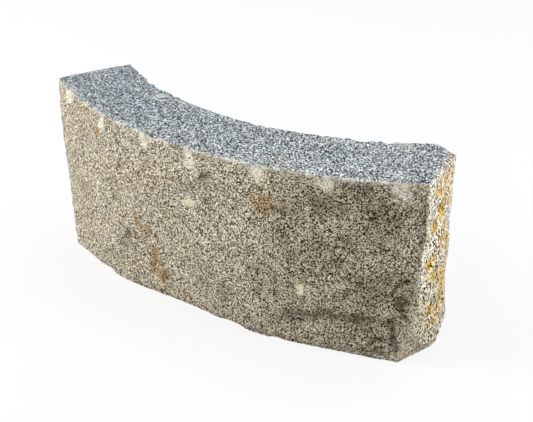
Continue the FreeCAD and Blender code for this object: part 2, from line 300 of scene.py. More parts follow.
# %% [markdown]
# ## Cracks
# Near the lower right corner the blow of the splitter left short cracks and one long spalled
# ledge. Each is a thin groove along a few places, given as angle and height. A curve object could
# carve them, but the distance to a line, worked out for every point, gives the groove and later
# its dark line from the same numbers: painted shade with some dirt in the groove, and along the
# ledge the painted shadow under its step. After its places, each crack has its half width and its
# depth in millimetres, and how dark its painted shade is.

# %% Cracks of the lower right corner
arc_run = np.radians(angle) * OUTER
unrolled = np.column_stack([arc_run, radius, height])
CRACKS = [([(27.6, 75), (28.1, 50), (28.6, 24)], 2.6, 2.6, 1.0),
          ([(25.3, 23), (26.0, 33), (26.7, 40)], 2.2, 1.6, 0.9),
          ([(25.4, 5), (26.9, 12)], 2.4, 1.6, 0.9),
          ([(29.3, 148), (28.8, 145), (28.0, 134), (27.7, 118)], 3.0, 3.4, 1.0),
          ([(28.3, 112), (28.9, 96), (29.5, 80)], 3.0, 1.8, 0.9),
          ([(14.9, 55), (16.5, 59), (19.0, 65), (21.6, 67), (24.0, 68), (25.6, 72), (27.5, 74)],
           5.5, 0.8, 0.6)]


WANDER = 3 * MM
MIDDLE_RADIUS = (OUTER + INNER) / 2


def crack(line, half_width):
    """Share near a line of places on the face, each an angle and a height."""
    wander = np.column_stack([noise(unrolled, 14 * MM, 87), noise(unrolled, 14 * MM, 88)])
    spots = np.column_stack([arc_run, height]) + WANDER * wander
    knots = [np.array((math.radians(at) * OUTER, up * MM)) for at, up in line]
    gap = np.full(count, np.inf)
    broken = step(-1.1, -0.1, noise(unrolled, 11 * MM, 91))
    for start, end in zip(knots, knots[1:]):
        way = end - start
        along = np.clip((spots - start) @ way / (way @ way), 0, 1)
        gap = np.minimum(gap, np.linalg.norm(spots - start - along[:, None] * way, axis=1))
    return broken * step(1.3, 0.2, gap / (half_width * MM)) * (radius > MIDDLE_RADIUS)


print("cracks", len(CRACKS))

# %% [markdown]
# ## Relief
# A flamed top spalls in small flat scales, half a millimetre deep. A split face tears from grain
# to grain and drifts in soft waves. The end was split along drill runs, so it has upright
# ridges. A Displace modifier would treat all sides alike, so the points are moved in code: each
# side gets its own noise, and the arrises and the foot get chips. All of it goes inwards, so the
# stone never grows past its true size. Depths are in millimetres.

# %% Move the points
DRIFT, TEAR, TORN_GRAIN = 1.1, 1.3, 1.0
FLAME_SWELL, FLAME_SCALE = 0.35, 0.42
RIDGE, END_TEAR, END_GRAIN = 1.1, 1.2, 0.6
TOP_ALLOWANCE, SIDE_ALLOWANCE = 0.6, 1.6
ARRIS_CHIP, ARRIS_NICK = 3.4, 2.0
FOOT_CHIP, FOOT_NICK = 4.0, 2.4
CORNER_CHIP, INNER_CHIP = 2.2, 4.0
split_relief = (DRIFT * rough(unrolled, 46 * MM, 11) + TEAR * rough(unrolled, 17 * MM, 23)
                + TORN_GRAIN * noise(unrolled, 7.5 * MM, 31))
top_relief = FLAME_SWELL * rough(place, 30 * MM, 41, 2) + FLAME_SCALE * noise(place, 8 * MM, 47)
across_end = place @ np.array((-RIGHT_END.y, RIGHT_END.x, 0.0))
end_frame = np.column_stack([across_end, place @ np.array(RIGHT_END), height])
end_relief = (RIDGE * noise(end_frame, np.array([13, 60, 95]) * MM, 53)
              + END_TEAR * rough(end_frame, np.array([9, 30, 20]) * MM, 59)
              + END_GRAIN * noise(place, 7 * MM, 61))
side = 1 - on_top - on_bed
relief = on_top * top_relief + side * (1 - on_right) * split_relief + side * on_right * end_relief
deepest = on_top * TOP_ALLOWANCE + side * SIDE_ALLOWANCE
below_top = TOP - height
arris_near = np.exp(-below_top / (5 * MM)) * np.exp(-np.abs(radius - OUTER) / (6 * MM))
inner_near = np.exp(-below_top / (6 * MM)) * np.exp(-np.abs(radius - INNER) / (8 * MM))
arris_near = np.maximum(arris_near, inner_near)
chips = (step(0.2, 0.8, noise(unrolled, 13 * MM, 71)) * ARRIS_CHIP
         + step(0.0, 0.7, noise(unrolled, 7 * MM, 73)) * ARRIS_NICK)
foot_near = np.exp(-height / (9 * MM)) * (1 - on_bed)
foot_chips = (step(0.0, 0.7, noise(unrolled, 17 * MM, 79)) * FOOT_CHIP
              + step(0.0, 0.7, noise(unrolled, 8 * MM, 83)) * FOOT_NICK)
corner_near = np.exp(-corner_gap / (6 * MM)) * (1 - on_top)
corner_chips = step(0.2, 0.8, noise(unrolled, 12 * MM, 89)) * CORNER_CHIP
inner_chips = step(0.25, 0.8, noise(unrolled, 24 * MM, 97)) * INNER_CHIP
move = (np.minimum(relief - deepest, 0) - arris_near * chips - foot_near * foot_chips
        - corner_near * corner_chips - inner_near * inner_chips)
for line, half_width, depth, _ in CRACKS:
    move -= depth * crack(line, half_width) * on_face
move *= (1 - on_bed) * MM
moved = place + normal * move[:, None]
moved[:, 2] = np.maximum(moved[:, 2], 0)
dressed.vertices.foreach_set("co", moved.ravel())
dressed.update()
print("deepest move", round(-move.min() / MM, 2), "mm, mean", round(-move.mean() / MM, 2), "mm")

# %% [markdown]
# ## Marks on the face
# Each tooth of the splitter crushed the grain under the top arris and left a pale bruise. Iron in
# the stone has bled in a few places. The dark patches are partly dark dirt and partly painted
# shadow, along the spalled ledge and in the scars of the lower right corner. Such marks could be
# painted, but a share for each point, worked out from a place on the arc, stays editable: move a
# number and the stain moves. Materials read the shares later by name. Each mark below has its angle
# in degrees, its height (a bruise: how far below the top), its half width and half height in
# millimetres and, where they differ, its strength.

# %% Marks on the face: bruises, rust and cream crystals
BRUISES = [(-26.3, 16, 14, 19), (-16.1, 20, 12, 20), (-6.8, 12, 12, 15), (0.8, 19, 16, 20),
           (10.3, 14, 17, 20), (19.2, 15, 18, 20), (27.8, 17, 17, 21)]
RUST_BLOTCHES = [(11.3, 246, 24, 20, 0.75), (10.2, 256, 12, 12, 0.4), (-16.8, 272, 9, 9, 0.9),
                 (-15.3, 268, 5, 8, 0.4), (-9.2, 135, 13, 16, 0.5), (-7.8, 122, 12, 12, 0.65),
                 (-6.1, 74, 9, 18, 0.95), (-6.5, 51, 11, 13, 0.8), (-4.9, 38, 11, 19, 1.0),
                 (-5.8, 220, 5, 24, 0.4), (-1.9, 246, 5, 6, 0.7), (-3.6, 208, 4, 8, 0.35)]
# Painted shadow: the patches along the spalled ledge and in the scars of the lower right corner; the
# others are dark dirt and stains.
DARK_PATCHES_AND_SHADOWS = [(3.4, 268, 13, 9, 0.9), (-11.0, 94, 9, 12, 0.8), (14.0, 247, 9, 17, 0.5),
                (19.5, 264, 34, 22, 0.5), (26.2, 258, 40, 34, 0.5), (30.9, 215, 10, 90, 0.6),
                (23.3, 300, 26, 7, 0.6), (21.8, 202, 11, 9, 0.5), (23.0, 72, 62, 8, 0.9),
                (17.0, 62, 40, 7, 0.7), (28.1, 128, 8, 12, 0.6), (28.9, 104, 13, 22, 0.8),
                (28.0, 50, 6, 30, 0.95), (27.4, 70, 15, 12, 0.7), (26.0, 36, 26, 6, 0.6),
                (25.4, 14, 30, 5, 0.6), (18.0, 170, 60, 30, 0.25), (25.0, 120, 50, 40, 0.3),
                (15.6, 47, 22, 12, 0.5)]
CREAM_CRYSTALS = [(0.5, 208, 14, 8), (-4.4, 164, 6, 4), (16.6, 107, 7, 11)]


def spot(at_angle, at_height, half_width, half_height, ragged, seed, rim=(1.3, 0.3)):
    """Round share on the face, with a ragged rim as soft as its two numbers are apart."""
    along = (arc_run - math.radians(at_angle) * OUTER) / (half_width * MM)
    up = (height - at_height * MM) / (half_height * MM)
    reach = np.sqrt(along ** 2 + up ** 2) + ragged * noise(unrolled, 7 * MM, seed)
    return step(*rim, reach) * (radius > MIDDLE_RADIUS)


BRUISE_STRENGTH = 0.88
bruise = np.zeros(count)
for number, (at, drop, wide, tall) in enumerate(BRUISES):
    tooth = spot(at, TOP / MM - drop, wide, tall, 0.5, 100 + number, (1.2, 0.4))
    bruise = np.maximum(bruise, BRUISE_STRENGTH * tooth)
rust = np.zeros(count)
for number, (at, up, wide, tall, strength) in enumerate(RUST_BLOTCHES):
    rust = np.maximum(rust, strength * spot(at, up, wide, tall, 0.55, 120 + number))
dark_and_shadow = np.zeros(count)
for number, (at, up, wide, tall, strength) in enumerate(DARK_PATCHES_AND_SHADOWS):
    dark_and_shadow = np.maximum(dark_and_shadow, strength * spot(at, up, wide, tall, 0.5, 140 + number))
# Painted shade: each crack darkens a line wider than its groove; along the ledge it is the painted
# shadow under the step.
for line, half_width, _, strength in CRACKS:
    dark_and_shadow = np.maximum(dark_and_shadow, strength * crack(line, 1.6 * half_width))
cream = np.zeros(count)
for number, (at, up, wide, tall) in enumerate(CREAM_CRYSTALS):
    cream = np.maximum(cream, spot(at, up, wide, tall, 0.6, 160 + number, (1.3, 0.5)))
print("bruised", round(bruise.sum()), "rusty", round(rust.sum()), "dark_and_shadow", round(dark_and_shadow.sum()), "points")

# %% [markdown]
# ## Rust on the split end, grime and painted shade
# The end was split most lately, so it is the brightest side, and yellow rust has run down it from
# iron in the stone. The runs are slanting lines that wander with noise and break up, each with
# a faint halo. Grime is broader: it lies in clouds on the face, and on the end it is heaviest near
# the ground. The face also grows darker round the curve to the right, which is painted shade, and
# the relief's hollows are darkened as painted shade with some dirt. Each run has its start and its
# end, both as the distance in from the face and the height, and its half width, all in millimetres.

# %% Rust runs on the split end, grime, and painted shade
END_RUNS = [(118, 292, 111, 240, 4.5), (104, 275, 38, 273, 4.5), (88, 262, 50, 238, 4.5),
            (112, 262, 109, 228, 4.0), (90, 250, 60, 228, 5.0), (60, 240, 36, 214, 5.0),
            (76, 214, 55, 180, 4.0), (140, 160, 134, 122, 3.0), (31, 167, 17, 158, 5.0),
            (125, 118, 62, 128, 4.5), (62, 130, 27, 134, 5.0), (66, 112, 58, 84, 5.5),
            (58, 90, 44, 62, 5.0), (18, 80, 27, 50, 4.5), (43, 52, 26, 48, 5.0)]


def run_stain(start_in, start_up, end_in, end_up, half_width):
    """Share near a slanting line on the right end, given by distance in from the face."""
    start = np.array([start_in, start_up]) * MM
    way = np.array([end_in, end_up]) * MM - start
    rows = np.column_stack([inward, height]) - start
    along = np.clip(rows @ way / (way @ way), 0, 1)
    wander = rough(end_frame, 16 * MM, 171, 2) * 7 * MM
    gap = np.hypot(rows[:, 0] - along * way[0] + wander, rows[:, 1] - along * way[1])
    return step(1.7, 0.6, gap / (half_width * MM)) * on_right


HALO_SPREAD, HALO_SHARE = 3, 0.22
UNSHADED_TO, SHADED_FROM = -1, 22
FACE_SHADE, CLOUD_GRIME = 0.44, 0.3
END_GRIME, LOW_GRIME = 0.15, 0.5
CORNER_GRIME, CORNER_CRUSH = 0.7, 0.4
END_ANGLE = math.radians(31.2)
end_corner = np.array((math.sin(END_ANGLE), -math.cos(END_ANGLE), 0)) * OUTER + np.array(ARC_CENTRE)
inward = across_end - end_corner @ np.array((-RIGHT_END.y, RIGHT_END.x, 0.0))
end_rust = np.zeros(count)
halo = np.zeros(count)
for start_in, start_up, end_in, end_up, half_width in END_RUNS:
    end_rust = np.maximum(end_rust, run_stain(start_in, start_up, end_in, end_up, half_width))
    halo = np.maximum(halo, run_stain(start_in, start_up, end_in, end_up, HALO_SPREAD * half_width))
end_rust *= step(-0.4, 0.3, noise(end_frame, np.array([5, 5, 12]) * MM, 173))
end_rust = np.maximum(end_rust, HALO_SHARE * halo * step(-0.6, 0.5, rough(end_frame, 14 * MM, 175)))
wavy_angle = angle + 8 * noise(unrolled, 120 * MM, 181)
# Painted shade: the face is darkened round the curve to the right, where it turns away from the light.
grime_and_shade = on_face * step(UNSHADED_TO, SHADED_FROM, wavy_angle) * FACE_SHADE
grime_and_shade += on_face * CLOUD_GRIME * step(0.0, 0.9, rough(unrolled, 60 * MM, 185))
grime_and_shade += on_right * (END_GRIME + LOW_GRIME * step(200 * MM, 60 * MM, height))
# Painted shade: the hollows of the relief are darkened, with some dirt in them.
hollow_dirt_and_shade = 0.6 * step(-0.2, 1.0, -relief / np.maximum(deepest, 0.1))
weathered = np.exp(-corner_gap / (16 * MM)) * step(150 * MM, 60 * MM, height)
grime_and_shade += on_right * CORNER_GRIME * weathered
bruise = np.maximum(bruise, CORNER_CRUSH * weathered * (1 - on_right))
print("end rust", round(end_rust.sum()), "grime_and_shade", round(grime_and_shade.sum()))

# %% [markdown]
# ## The top's patches, its painted shade and the worn arrises
# The flame works unevenly: here it took off more and left the stone pale, there less. The left
# part of the top is also darkened, and that is painted shade. Handling has crushed the sharp
# arrises, so a thin pale line follows the top's front edge and the upright one; along the front
# edge the line is partly a painted highlight. The line is the distance to the arris turned into a
# share, broken up by noise. Each patch has its angle, its radius, its half length and half breadth
# in millimetres, and its strength.

# %% Pale and dark places on the top, its painted shade, and the worn arrises with a painted highlight
TOP_PALE = [(-15.9, 628, 14, 12, 0.75), (-15.2, 612, 9, 8, 0.75), (-10.5, 613, 11, 9, 0.75),
            (5.8, 608, 16, 11, 0.65), (18.2, 617, 14, 10, 0.65), (28.7, 616, 14, 11, 0.65),
            (8.2, 731, 44, 9, 0.45), (13.8, 712, 24, 16, 0.35), (20.1, 708, 30, 15, 0.4),
            (28.0, 730, 22, 14, 0.4)]
TOP_DARK = [(-22.4, 734, 14, 9, 0.5), (-6.6, 664, 26, 20, 0.25), (18.0, 664, 30, 18, 0.35),
            (26.7, 742, 6, 5, 0.9), (32.1, 628, 14, 12, 0.5), (4.0, 686, 60, 22, 0.15)]


def top_spot(at_angle, at_radius, half_along, half_across, seed):
    """Soft round share on the top, given by its place on the ring."""
    along = (angle - at_angle) * math.radians(1) * at_radius / half_along
    reach = np.hypot(along, (radius - at_radius * MM) / (half_across * MM))
    return step(1.4, 0.4, reach + 0.5 * noise(place, 8 * MM, seed)) * on_top


LEFT_SHADE = 0.5
RIM_REACH, CORNER_REACH, CORNER_WEAR = 4.5 * MM, 4 * MM, 0.6
top_pale = np.zeros(count)
for number, (at, out, along, across, strength) in enumerate(TOP_PALE):
    top_pale = np.maximum(top_pale, strength * top_spot(at, out, along, across, 200 + number))
top_dark_and_shade = np.zeros(count)
for number, (at, out, along, across, strength) in enumerate(TOP_DARK):
    top_dark_and_shade = np.maximum(top_dark_and_shade, strength * top_spot(at, out, along, across, 220 + number))
# Painted shade: the left part of the top is darkened.
top_dark_and_shade += LEFT_SHADE * step(18, -30, angle) * on_top
# Painted highlight: the pale line along the top's front arris is partly a highlight, partly crushed
# grain.
outer_rim = np.clip(1.5 * np.exp(-np.hypot(radius - OUTER, below_top) / RIM_REACH), 0, 1)
outer_rim *= 0.5 + 0.6 * step(-0.4, 0.4, rough(unrolled, 14 * MM, 191, 2))
corner_rim = CORNER_WEAR * np.exp(-corner_gap / CORNER_REACH) * step(70 * MM, 130 * MM, height)
arris_wear_and_highlight = np.maximum(outer_rim, corner_rim)
print("pale on top", round(top_pale.sum()), "worn arris", round(arris_wear_and_highlight.sum()))

# %% [markdown]
# ## Keeping the marks with the mesh
# A point attribute is a named number on every point. It moves with the mesh and needs no
# unwrapping and no picture, and an Attribute node in a material reads it by its name.

# %% Keep the marks with the mesh
# The hollow, grime, dark patch and top dark marks also carry painted shade and shadow, and the arris
# wear mark a painted highlight.
MARKS = {"bruise": bruise, "rust": rust, "dark_patch_and_shadow": dark_and_shadow, "cream_crystal": cream,
         "end_rust": end_rust, "grime_and_shade": grime_and_shade, "hollow_dirt_and_shade": hollow_dirt_and_shade,
         "top_pale": top_pale, "top_dark_and_shade": top_dark_and_shade, "arris_wear_and_highlight": arris_wear_and_highlight}
for name, values in MARKS.items():
    layer = dressed.attributes.new(name, "FLOAT", "POINT")
    layer.data.foreach_set("value", values.astype(np.float32))
print("marks", sorted(MARKS))

# %% [markdown]
# ## Small helpers for nodes
# Shader trees grow long when every link is a line of its own. These few functions add one node
# each, take a number or a socket for an input, and hand back the output. A Mix node here is
# clamped, because no real surface gives back more light than falls on it.

# %% Helpers for node groups
def new_group(name, ins, outs):
    """A shader node group with named sockets, and its two end nodes."""
    group = bpy.data.node_groups.new(name, "ShaderNodeTree")
    for label, kind, value in ins:
        socket = group.interface.new_socket(name=label, in_out="INPUT", socket_type=kind)
        socket.default_value = value
    for label, kind in outs:
        group.interface.new_socket(name=label, in_out="OUTPUT", socket_type=kind)
    return group, group.nodes.new("NodeGroupInput"), group.nodes.new("NodeGroupOutput")


def math_node(tree, operation, first, second=0.5):
    """A Math node; each input is a socket or a number."""
    node = tree.nodes.new("ShaderNodeMath")
    node.operation = operation
    for socket, value in zip(node.inputs, (first, second)):
        if isinstance(value, (int, float)):
            socket.default_value = value
        else:
            tree.links.new(value, socket)
    return node.outputs[0]


def mix_colour(tree, factor, first, second, blend="MIX"):
    """A colour Mix node, never brighter than white; each input is a socket or a value."""
    node = tree.nodes.new("ShaderNodeMix")
    node.data_type = "RGBA"
    node.blend_type = blend
    node.clamp_result = True
    for name, value in (("Factor_Float", factor), ("A_Color", first), ("B_Color", second)):
        socket = next(s for s in node.inputs if s.identifier == name)
        if isinstance(value, (int, float, tuple)):
            socket.default_value = value
        else:
            tree.links.new(value, socket)
    return next(s for s in node.outputs if s.identifier == "Result_Color")


def texture(tree, kind, scale, vector, **settings):
    """A procedural texture node with its scale and vector."""
    node = tree.nodes.new(kind)
    for key, value in settings.items():
        setattr(node, key, value)
    if isinstance(scale, (int, float)):
        node.inputs["Scale"].default_value = scale
    else:
        tree.links.new(scale, node.inputs["Scale"])
    tree.links.new(vector, node.inputs["Vector"])
    return node


FLOAT, COLOUR = "NodeSocketFloat", "NodeSocketColor"

# %% [markdown]
# ## Granite as a node group
# Granite is crystals packed tight: white and cream feldspar, grey quartz, black mica. A Voronoi
# texture makes just such cells, each with its own random colour, and that random number picks the
# mineral. A little noise bends the cells, so they don't look cut with a ruler. The same group
# serves the top, the split face and the end, each with its own colours, so it is built once
# with named sockets. A second, coarser Voronoi holds the big feldspar crystals: near their middle
# the pick is pulled towards white, and between them towards mica, as the rock packs itself.

# %% Granite grain
WOBBLE_SCALE, WOBBLE_REACH = 600, 0.0014
CRYSTAL_MIDDLE = 0.47
TONE_SWING, TONE_LEAST = 0.6, 0.7


def granite_grain():
    """Crystals of four minerals: the random number of each cell picks which."""
    group, enter, leave = new_group(
        "granite_grain",
        [("Grain Size", FLOAT, 0.002), ("Crystal Size", FLOAT, 0.0026), ("Packing", FLOAT, 1.1),
         ("Mica", COLOUR, (0.02, 0.02, 0.02, 1)),
         ("Quartz", COLOUR, (0.2, 0.2, 0.2, 1)), ("Feldspar", COLOUR, (0.5, 0.45, 0.36, 1)),
         ("White", COLOUR, (0.8, 0.78, 0.72, 1)), ("Mica Share", FLOAT, 0.22),
         ("Quartz Share", FLOAT, 0.30), ("White Share", FLOAT, 0.2)],
        [("Color", COLOUR), ("Height", FLOAT)])
    where = group.nodes.new("ShaderNodeTexCoord").outputs["Object"]
    wobble = texture(group, "ShaderNodeTexNoise", WOBBLE_SCALE, where)
    bend = group.nodes.new("ShaderNodeVectorMath")
    bend.operation = "MULTIPLY_ADD"
    group.links.new(wobble.outputs["Color"], bend.inputs[0])
    bend.inputs[1].default_value = (WOBBLE_REACH, WOBBLE_REACH, WOBBLE_REACH)
    group.links.new(where, bend.inputs[2])
    bent = bend.outputs[0]
    size_scale = math_node(group, "DIVIDE", 1.0, enter.outputs["Grain Size"])
    cells = texture(group, "ShaderNodeTexVoronoi", size_scale, bent)
    parts = group.nodes.new("ShaderNodeSeparateColor")
    group.links.new(cells.outputs["Color"], parts.inputs[0])
    tone = parts.outputs[1]
    crystal_scale = math_node(group, "DIVIDE", 1.0, enter.outputs["Crystal Size"])
    crystals = texture(group, "ShaderNodeTexVoronoi", crystal_scale, bent)
    from_rim = math_node(group, "SUBTRACT", CRYSTAL_MIDDLE, crystals.outputs["Distance"])
    pull = math_node(group, "MULTIPLY", from_rim, enter.outputs["Packing"])
    pick = math_node(group, "ADD", parts.outputs[0], pull)
    is_mica = math_node(group, "LESS_THAN", pick, enter.outputs["Mica Share"])
    dark_sum = math_node(group, "ADD", enter.outputs["Mica Share"], enter.outputs["Quartz Share"])
    is_dark = math_node(group, "LESS_THAN", pick, dark_sum)
    white_from = math_node(group, "SUBTRACT", 1.0, enter.outputs["White Share"])
    is_white = math_node(group, "GREATER_THAN", pick, white_from)
    colour = mix_colour(group, is_dark, enter.outputs["Feldspar"], enter.outputs["Quartz"])
    colour = mix_colour(group, is_mica, colour, enter.outputs["Mica"])
    colour = mix_colour(group, is_white, colour, enter.outputs["White"])
    swing = math_node(group, "MULTIPLY_ADD", tone, TONE_SWING)
    swing.node.inputs[2].default_value = TONE_LEAST
    grey = group.nodes.new("ShaderNodeCombineColor")
    for socket in grey.inputs:
        group.links.new(swing, socket)
    colour = mix_colour(group, 1.0, colour, grey.outputs[0], "MULTIPLY")
    group.links.new(colour, leave.inputs["Color"])
    lift = math_node(group, "SUBTRACT", tone, cells.outputs["Distance"])
    group.links.new(lift, leave.inputs["Height"])
    return group


GRAIN = granite_grain()
print("group", GRAIN.name, "nodes", len(GRAIN.nodes))

# %% [markdown]
# ## A stain that soaks in
# A stain doesn't paint over the crystals: it tints the pale ones most and leaves the black ones
# black, so it multiplies. Its edge is broken by noise finer than the mesh can hold. The same
# group makes rust and the dark patches, part of which are painted shadow, with another tint.

# %% Soaked stain
def soft_noise(group, scale, where, gain):
    """Noise spread about zero, gain times as strong as the texture gives it."""
    clouds = texture(group, "ShaderNodeTexNoise", scale, where)
    centred = math_node(group, "SUBTRACT", clouds.outputs["Fac"], 0.5)
    return math_node(group, "MULTIPLY", centred, gain)


def soaked_stain():
    """Tint that soaks into the grain where a mark says, with a grainy rim."""
    group, enter, leave = new_group(
        "soaked_stain",
        [("Color", COLOUR, (0.5, 0.5, 0.5, 1)), ("Tint", COLOUR, (0.8, 0.4, 0.1, 1)),
         ("Mark", FLOAT, 0.0), ("Strength", FLOAT, 1.0), ("Speck Scale", FLOAT, 350.0)],
        [("Color", COLOUR), ("Share", FLOAT)])
    where = group.nodes.new("ShaderNodeTexCoord").outputs["Object"]
    specks = soft_noise(group, enter.outputs["Speck Scale"], where, 1.4)
    full = math_node(group, "ADD", specks, 1.0)
    gated = math_node(group, "MULTIPLY", full, enter.outputs["Mark"])
    shared = math_node(group, "MULTIPLY", gated, enter.outputs["Strength"])
    shared.node.use_clamp = True
    tinted = mix_colour(group, shared, enter.outputs["Color"], enter.outputs["Tint"], "MULTIPLY")
    group.links.new(tinted, leave.inputs["Color"])
    group.links.new(shared, leave.inputs["Share"])
    return group


STAIN = soaked_stain()
print("group", STAIN.name, "nodes", len(STAIN.nodes))

# %% [markdown]
# ## Mottling
# No block is one tone. Whole patches are a shade lighter or darker, warmer or cooler, because the
# minerals gathered as the rock cooled. Two soft noises do it: one for the shade, and a
# wider one for the hue.

# %% Mottling
def mottling():
    """Cloudy patches, some darker and some lighter, some warm and some cool."""
    group, enter, leave = new_group(
        "mottling",
        [("Color", COLOUR, (0.5, 0.5, 0.5, 1)), ("Cloud Scale", FLOAT, 30.0), ("Amount", FLOAT, 0.3),
         ("Warm", COLOUR, (1.05, 1.0, 0.9, 1)), ("Cool", COLOUR, (0.95, 1.0, 1.06, 1))],
        [("Color", COLOUR)])
    where = group.nodes.new("ShaderNodeTexCoord").outputs["Object"]
    shade = soft_noise(group, enter.outputs["Cloud Scale"], where, 2.4)
    level = math_node(group, "MULTIPLY", shade, enter.outputs["Amount"])
    bright = math_node(group, "ADD", level, 1.0)
    grey = group.nodes.new("ShaderNodeCombineColor")
    for socket in grey.inputs:
        group.links.new(bright, socket)
    shaded = mix_colour(group, 1.0, enter.outputs["Color"], grey.outputs[0], "MULTIPLY")
    half_scale = math_node(group, "MULTIPLY", enter.outputs["Cloud Scale"], 0.6)
    hue = math_node(group, "ADD", soft_noise(group, half_scale, where, 3.0), 0.5)
    hue.node.use_clamp = True
    tint = mix_colour(group, hue, enter.outputs["Warm"], enter.outputs["Cool"])
    tinted = mix_colour(group, 1.0, shaded, tint, "MULTIPLY")
    group.links.new(tinted, leave.inputs["Color"])
    return group


MOTTLE = mottling()
print("group", MOTTLE.name, "nodes", len(MOTTLE.nodes))

# %% [markdown]
# ## Dirt and painted shade
# Dirt settles in the hollows and clings where rain doesn't wash, and the darkening of the hollows
# is also painted shade. The hollow mark comes from the relief itself, so the dark lies exactly
# where the surface is deep, which shading alone can't do at this scale. The broad mark is painted
# shade as well on the right part of the face and the left part of the top.

# %% Dirt and painted shade
def dirt_and_painted_shade():
    """Painted shade with some dirt in the hollows, and broad darkening where the broad mark is high.
    """
    group, enter, leave = new_group(
        "dirt_and_painted_shade",
        [("Color", COLOUR, (0.5, 0.5, 0.5, 1)), ("Dirt", COLOUR, (0.5, 0.48, 0.42, 1)),
         ("Hollow", FLOAT, 0.0), ("Grime", FLOAT, 0.0), ("Cloud Scale", FLOAT, 45.0)],
        [("Color", COLOUR)])
    where = group.nodes.new("ShaderNodeTexCoord").outputs["Object"]
    clouds = math_node(group, "ADD", soft_noise(group, enter.outputs["Cloud Scale"], where, 2.0), 1.0)
    cloud = math_node(group, "MULTIPLY", clouds, enter.outputs["Grime"])
    total = math_node(group, "ADD", cloud, enter.outputs["Hollow"])
    total.node.use_clamp = True
    darkened = mix_colour(group, total, enter.outputs["Color"], enter.outputs["Dirt"], "MULTIPLY")
    group.links.new(darkened, leave.inputs["Color"])
    return group


DIRT_AND_SHADE = dirt_and_painted_shade()
print("group", DIRT_AND_SHADE.name, "nodes", len(DIRT_AND_SHADE.nodes))

# %% [markdown]
# ## Crushed grain, and a painted highlight
# Where stone is struck or rubbed, the grain is crushed and turns pale, but only speck by speck.
# The group adds noise to the wear mark before it is used, so a strong mark leaves few gaps and a
# weak one only scattered specks. It serves the arrises, the tooth bruises, the cream crystals and
# the top's patches. Along the top's front arris the pale line is partly a painted highlight.

# %% Crushed grain and a painted highlight
def wear_and_highlight():
    """Pale specks where the mark and a speckle agree: crushed grain, and on the front arris partly a
    painted highlight.
    """
    group, enter, leave = new_group(
        "wear_and_highlight",
        [("Color", COLOUR, (0.5, 0.5, 0.5, 1)), ("Pale", COLOUR, (0.7, 0.68, 0.6, 1)),
         ("Wear", FLOAT, 0.0), ("Speck Scale", FLOAT, 160.0)],
        [("Color", COLOUR)])
    where = group.nodes.new("ShaderNodeTexCoord").outputs["Object"]
    specks = soft_noise(group, enter.outputs["Speck Scale"], where, 5.5)
    level = math_node(group, "ADD", specks, enter.outputs["Wear"])
    gated = math_node(group, "MULTIPLY", level, enter.outputs["Wear"])
    gated.node.use_clamp = True
    worn_and_highlit = mix_colour(group, gated, enter.outputs["Color"], enter.outputs["Pale"])
    group.links.new(worn_and_highlit, leave.inputs["Color"])
    return group


WEAR_AND_HIGHLIGHT = wear_and_highlight()
print("group", WEAR_AND_HIGHLIGHT.name, "nodes", len(WEAR_AND_HIGHLIGHT.nodes))

# %% [markdown]
# ## Three finishes of one rock
# The top, the old split sides and the fresh end are the same granite, but they look like three.
# One material with masks could hold them all. Three materials that share the groups are
# easier to read, and each keeps its own Principled shader with plain values on it.

# %% Material helpers
SPECULAR_LEVEL = 0.35
BUMP_DISTANCE = 0.0019


def place_group(tree, group, **values):
    """Place a group in a material; a value may be a number, a colour or a socket."""
    node = tree.nodes.new("ShaderNodeGroup")
    node.node_tree = group
    for name, value in values.items():
        socket = node.inputs[name.replace("_", " ")]
        if isinstance(value, (int, float, tuple)):
            socket.default_value = value
        else:
            tree.links.new(value, socket)
    return node


def mark(tree, name):
    """The share that the mesh keeps for every point under this name."""
    node = tree.nodes.new("ShaderNodeAttribute")
    node.attribute_name = name
    return node.outputs["Fac"]


def stone_material(name, roughness, bump):
    """A material with its shader and a bump node, ready for colour and height."""
    material = bpy.data.materials.new(name)
    material.use_nodes = True
    tree = material.node_tree
    shader = tree.nodes["Principled BSDF"]
    shader.inputs["Roughness"].default_value = roughness
    shader.inputs["Specular IOR Level"].default_value = SPECULAR_LEVEL
    bumps = tree.nodes.new("ShaderNodeBump")
    bumps.inputs["Strength"].default_value = bump
    bumps.inputs["Distance"].default_value = BUMP_DISTANCE
    tree.links.new(bumps.outputs[0], shader.inputs["Normal"])
    return material, tree, shader, bumps


def finish_material(tree, shader, bumps, colour, height_socket):
    """Plug the last colour and the grain's height into the shader."""
    tree.links.new(colour, shader.inputs["Base Color"])
    tree.links.new(height_socket, bumps.inputs["Height"])


# %% [markdown]
# ## The flamed top
# Flaming bursts the top grains off, so the top is clean, finely rough and blue-grey: the iron
# that browns the sides is gone. Much black mica and bright white, less of the grey between, give
# the crisp salt-and-pepper look.

